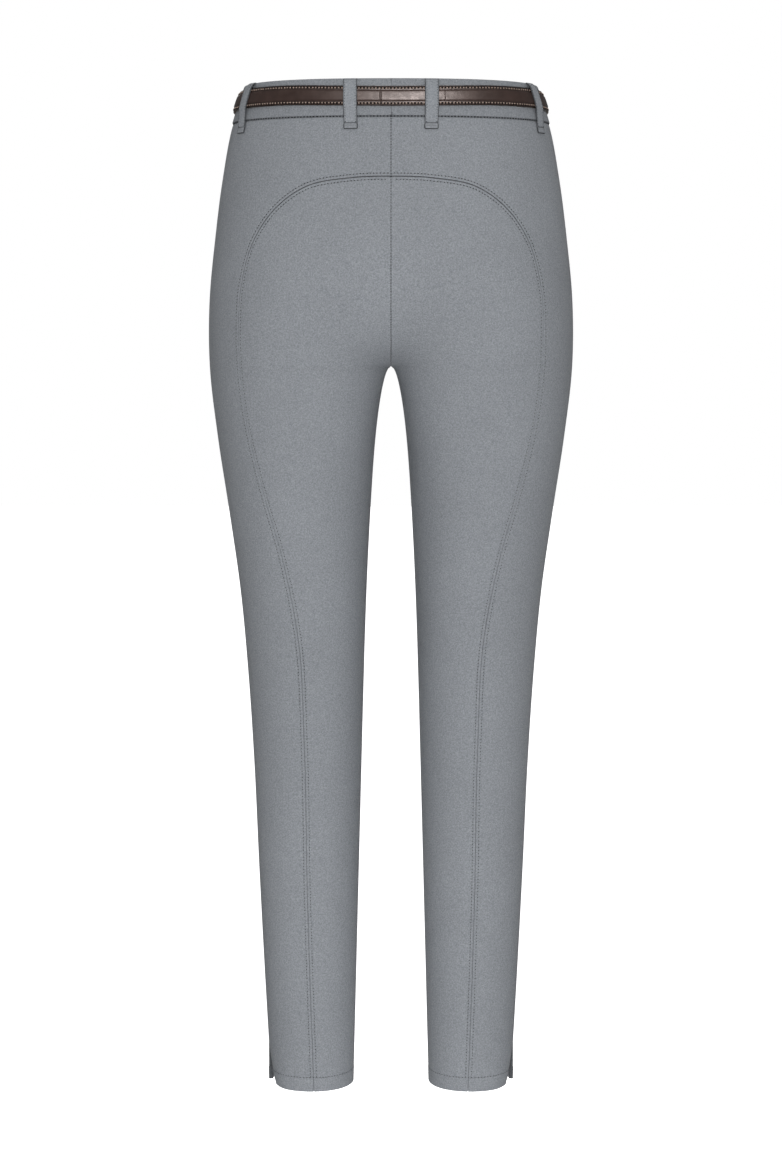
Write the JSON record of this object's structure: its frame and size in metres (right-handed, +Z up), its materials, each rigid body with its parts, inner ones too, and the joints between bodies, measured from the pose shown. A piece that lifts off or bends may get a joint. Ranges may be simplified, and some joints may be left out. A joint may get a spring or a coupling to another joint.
{
  "type": "riding breeches with belt",
  "caption": "Full-seat riding breeches in their worn form, with a waistband, belt loops, a front fly and a leather belt with a pin buckle.",
  "frame": {"origin": "middle of the waist opening, level with the waistband's top edge at the back and sides", "axes": "+Z up along the wearer's body, -Y the way the wearer faces, +X to the wearer's left"},
  "size_m": [0.3478, 0.234, 0.9673],
  "materials": {
    "cloth": "brushed grey stretch cloth, matt",
    "leather": "dark brown belt leather, polished",
    "metal": "brushed nickel colour"
  },
  "bodies": {
    "root": {"front_left": "cloth", "front_right": "cloth", "back_left": "cloth", "back_right": "cloth", "seat_left": "cloth", "seat_right": "cloth", "waistband": "cloth", "fly": "cloth", "loop_back_left": "cloth", "loop_back_right": "cloth", "loop_side_left": "cloth", "loop_side_right": "cloth", "loop_front_left": "cloth", "loop_front_right": "cloth", "belt": "leather", "keeper": "leather", "buckle_frame": "metal", "buckle_prong": "metal"}
  },
  "joints": []
}
